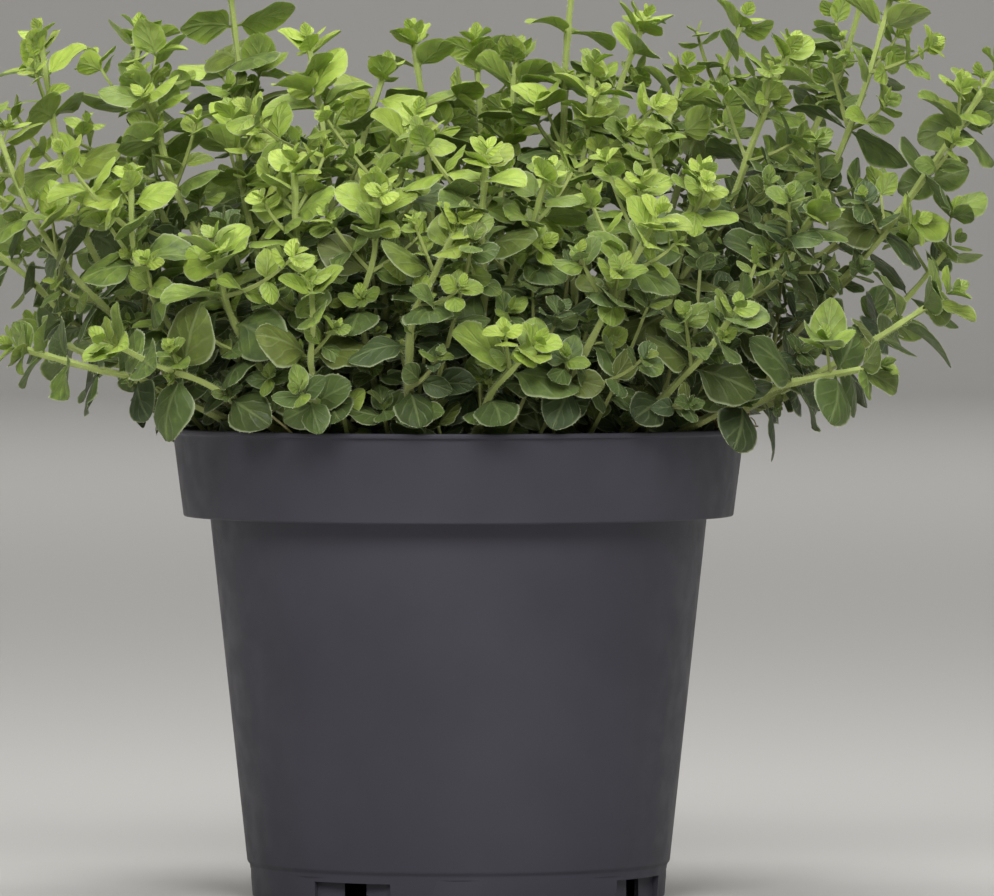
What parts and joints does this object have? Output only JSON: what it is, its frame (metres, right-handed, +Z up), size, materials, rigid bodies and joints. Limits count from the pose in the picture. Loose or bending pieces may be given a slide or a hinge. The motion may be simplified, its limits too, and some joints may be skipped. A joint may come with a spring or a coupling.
{
  "type": "potted oregano plant",
  "caption": "Bushy oregano herb plant with small paired leaves on square stems, growing in soil in a dark grey plastic nursery pot.",
  "frame": {"origin": "middle of the flat foot of the pot, in the plane on which it stands", "axes": "+Z up along the pot's axis, -Y towards the side that is seen first, +X to its right"},
  "size_m": [0.2443, 0.18, 0.2134],
  "materials": {
    "pot_plastic": "matte dark grey recycled plastic with a soft broad sheen",
    "soil": "dark crumbly potting mix",
    "foliage": "hairy green stems and soft matt leaves, yellow-green at the tips and grey-green below"
  },
  "bodies": {
    "root": {"pot": "pot_plastic", "soil": "soil", "leafy_stem_01": "foliage", "leafy_stem_02": "foliage", "leafy_stem_03": "foliage", "leafy_stem_04": "foliage", "leafy_stem_05": "foliage", "leafy_stem_06": "foliage", "leafy_stem_07": "foliage", "leafy_stem_08": "foliage", "leafy_stem_09": "foliage", "leafy_stem_10": "foliage", "leafy_stem_11": "foliage", "leafy_stem_12": "foliage", "leafy_stem_13": "foliage", "leafy_stem_14": "foliage", "leafy_stem_15": "foliage", "leafy_stem_16": "foliage", "leafy_stem_17": "foliage", "leafy_stem_18": "foliage", "leafy_stem_19": "foliage", "leafy_stem_20": "foliage", "leafy_stem_21": "foliage", "leafy_stem_22": "foliage", "leafy_stem_23": "foliage", "leafy_stem_24": "foliage", "leafy_stem_25": "foliage", "leafy_stem_26": "foliage", "leafy_stem_27": "foliage", "leafy_stem_28": "foliage", "leafy_stem_29": "foliage", "leafy_stem_30": "foliage", "leafy_stem_31": "foliage", "leafy_stem_32": "foliage", "leafy_stem_33": "foliage", "leafy_stem_34": "foliage", "leafy_stem_35": "foliage", "leafy_stem_36": "foliage", "leafy_stem_37": "foliage", "leafy_stem_38": "foliage", "leafy_stem_39": "foliage", "leafy_stem_40": "foliage", "leafy_stem_41": "foliage", "leafy_stem_42": "foliage", "leafy_stem_43": "foliage", "leafy_stem_44": "foliage", "leafy_stem_45": "foliage", "leafy_stem_46": "foliage", "leafy_stem_47": "foliage", "leafy_stem_48": "foliage", "leafy_stem_49": "foliage", "leafy_stem_50": "foliage", "leafy_stem_51": "foliage", "leafy_stem_52": "foliage"}
  },
  "joints": []
}
